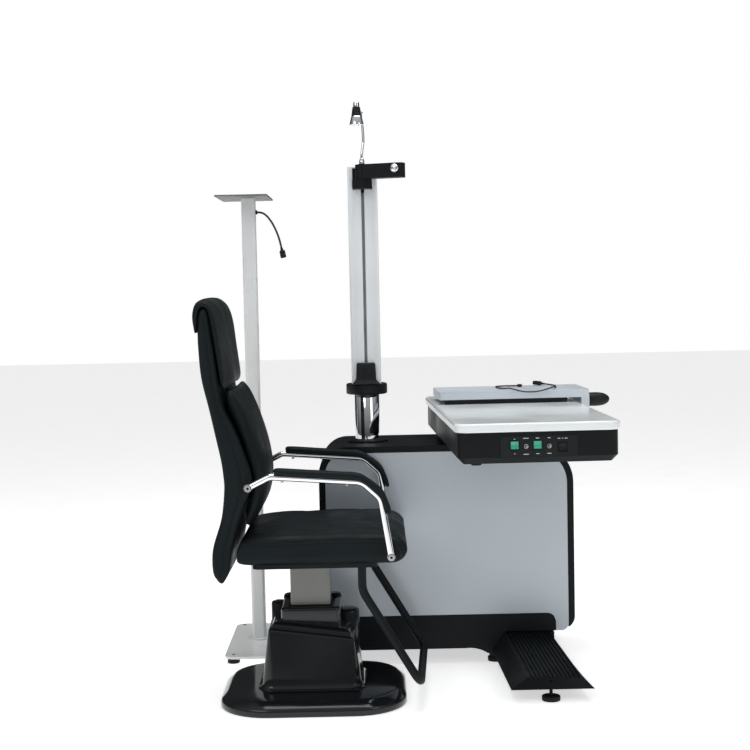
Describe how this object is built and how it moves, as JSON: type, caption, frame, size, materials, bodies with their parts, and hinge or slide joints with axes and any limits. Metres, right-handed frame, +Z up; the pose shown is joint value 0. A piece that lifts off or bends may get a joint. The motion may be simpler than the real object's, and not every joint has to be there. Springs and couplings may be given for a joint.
{
  "type": "ophthalmic refraction unit",
  "caption": "Eye examination unit: lift chair, cabinet with mast, refractor arm and lamp, swing instrument table with sliding platform, and projector stand.",
  "frame": {"origin": "bottom centre of the whole unit's box, on the floor", "axes": "+Z up, +X from the chair towards the table along the cabinet, +Y towards the cabinet's back"},
  "size_m": [1.2714, 1.1304, 1.797],
  "materials": {
    "leatherette": "satin",
    "chrome": "polished",
    "gloss_black": "gloss",
    "black_metal": "satin",
    "black_plastic": "matte",
    "silver_paint": "satin",
    "white_gloss": "gloss",
    "pale_paint": "satin",
    "beige_paint": "satin",
    "anodised": "satin",
    "steel": "satin",
    "rubber": "matte",
    "green_lens": "gloss",
    "bulb": "gloss"
  },
  "bodies": {
    "stand": {"chair_base_plate": "gloss_black", "chair_lift_housing": "gloss_black", "lift_outer_tube": "steel", "lift_actuator": "steel", "cabinet_wrap": "black_metal", "cabinet_front_panel": "silver_paint", "cabinet_back_panel": "silver_paint", "cabinet_plinth": "black_metal", "cabinet_frame": "steel", "power_supply": "steel", "levelling_feet": "rubber", "mast_pole": "chrome", "table_post": "steel", "outrigger_step": "black_metal", "stand_foot_plate": "pale_paint", "stand_bolts": "steel", "stand_rubber_feet": "rubber", "projector_pole": "pale_paint", "projector_plate": "steel", "pole_grommet": "rubber", "pole_cord": "rubber", "pole_connector": "black_plastic"},
    "seat": {"lift_inner_tube": "beige_paint", "lift_push_rod": "chrome", "seat_pan": "black_metal", "seat_cushion": "leatherette", "back_shell": "leatherette", "back_cushion": "leatherette", "headrest_cushion": "leatherette", "armrest_frames": "chrome", "armrest_pads": "leatherette", "armrest_bolts": "steel", "footrest_loop": "black_metal"},
    "leveller": {"step_leveller": "rubber"},
    "mast": {"mast_collar": "black_plastic", "mast_profile": "anodised", "mast_top_cap": "black_plastic"},
    "balance": {"counterweight": "steel"},
    "carriage": {"arm_carriage": "black_metal"},
    "arm": {"refractor_arm": "black_metal"},
    "knob": {"arm_lock_knob": "chrome"},
    "neck": {"lamp_gooseneck": "chrome"},
    "lamp": {"lamp_shade": "chrome", "lamp_head": "black_plastic", "lamp_bulb": "bulb"},
    "table": {"table_tray": "black_metal", "table_top": "white_gloss", "control_panel": "black_plastic"},
    "brake": {"table_brake_lever": "black_plastic"},
    "rocker_power": {"power_rocker": "green_lens"},
    "rocker_lamp": {"lamp_rocker": "green_lens"},
    "rocker_aux": {"aux_rocker": "black_plastic"},
    "toggle_chair": {"chair_toggle": "steel"},
    "toggle_column": {"column_toggle": "steel"},
    "platform": {"instrument_platform": "pale_paint", "platform_runners": "black_plastic", "platform_handle": "black_plastic", "cord_outlet": "black_plastic", "platform_cord": "rubber", "platform_plug": "black_plastic"}
  },
  "joints": [
    {"name": "chair_lift", "type": "slide", "parent": "stand", "child": "seat", "axis": [0, 0, 1], "range_m": [-0.04, 0.14]},
    {"name": "leveller_screw", "type": "hinge", "parent": "stand", "child": "leveller", "pos_m": [0.36786, -0.3698, 0.02], "axis": [0, 0, 1], "range_deg": [-180, 180]},
    {"name": "mast_swivel", "type": "hinge", "parent": "stand", "child": "mast", "pos_m": [-0.15114, 0.2362, 0.87], "axis": [0, 0, 1], "range_deg": [-90, 90]},
    {"name": "arm_lift", "type": "slide", "parent": "mast", "child": "carriage", "axis": [0, 0, 1], "range_m": [-0.45, 0]},
    {"name": "balance_travel", "type": "slide", "parent": "mast", "child": "balance", "axis": [0, 0, 1], "range_m": [0, 0.45]},
    {"name": "arm_swing", "type": "hinge", "parent": "carriage", "child": "arm", "pos_m": [-0.15114, 0.1642, 1.575], "axis": [0, 0, 1], "range_deg": [-160, 20]},
    {"name": "clamp_knob", "type": "hinge", "parent": "arm", "child": "knob", "pos_m": [-0.04864, 0.09497, 1.579], "axis": [-0.342, -0.9397, 0], "range_deg": [-180, 180]},
    {"name": "neck_swivel", "type": "hinge", "parent": "carriage", "child": "neck", "pos_m": [-0.15114, 0.1642, 1.606], "axis": [0, 0, -1], "range_deg": [-150, 60]},
    {"name": "lamp_tilt", "type": "hinge", "parent": "neck", "child": "lamp", "pos_m": [-0.16514, 0.1862, 1.765], "axis": [-1, 0, 0], "range_deg": [0, 60]},
    {"name": "table_swing", "type": "hinge", "parent": "stand", "child": "table", "pos_m": [0.28886, 0.2362, 0.735], "axis": [0, 0, 1], "range_deg": [0, 90]},
    {"name": "brake_lever", "type": "hinge", "parent": "table", "child": "brake", "pos_m": [0.15593, -0.41021, 0.69], "axis": [0, 0, 1], "range_deg": [0, 60]},
    {"name": "platform_slide", "type": "slide", "parent": "table", "child": "platform", "axis": [0.0436, -0.999, 0], "range_m": [0, 0.45]},
    {"name": "power_rocker_tilt", "type": "hinge", "parent": "table", "child": "rocker_power", "pos_m": [0.25558, -0.549, 0.764], "axis": [0.999, 0.0436, 0], "range_deg": [0, 14]},
    {"name": "lamp_rocker_tilt", "type": "hinge", "parent": "table", "child": "rocker_lamp", "pos_m": [0.31902, -0.54623, 0.764], "axis": [0.999, 0.0436, 0], "range_deg": [0, 14]},
    {"name": "aux_rocker_tilt", "type": "hinge", "parent": "table", "child": "rocker_aux", "pos_m": [0.38845, -0.5432, 0.757], "axis": [0.999, 0.0436, 0], "range_deg": [0, 14]},
    {"name": "chair_toggle_tilt", "type": "hinge", "parent": "table", "child": "toggle_chair", "pos_m": [0.28701, -0.54663, 0.761], "axis": [0.999, 0.0436, 0], "range_deg": [-12, 12], "stiffness_Nm_per_rad": 0.05},
    {"name": "column_toggle_tilt", "type": "hinge", "parent": "table", "child": "toggle_column", "pos_m": [0.35094, -0.54383, 0.761], "axis": [0.999, 0.0436, 0], "range_deg": [-12, 12], "stiffness_Nm_per_rad": 0.05}
  ],
  "couplings": [
    {"joint": "balance_travel", "follows": "arm_lift", "ratio": -1}
  ]
}
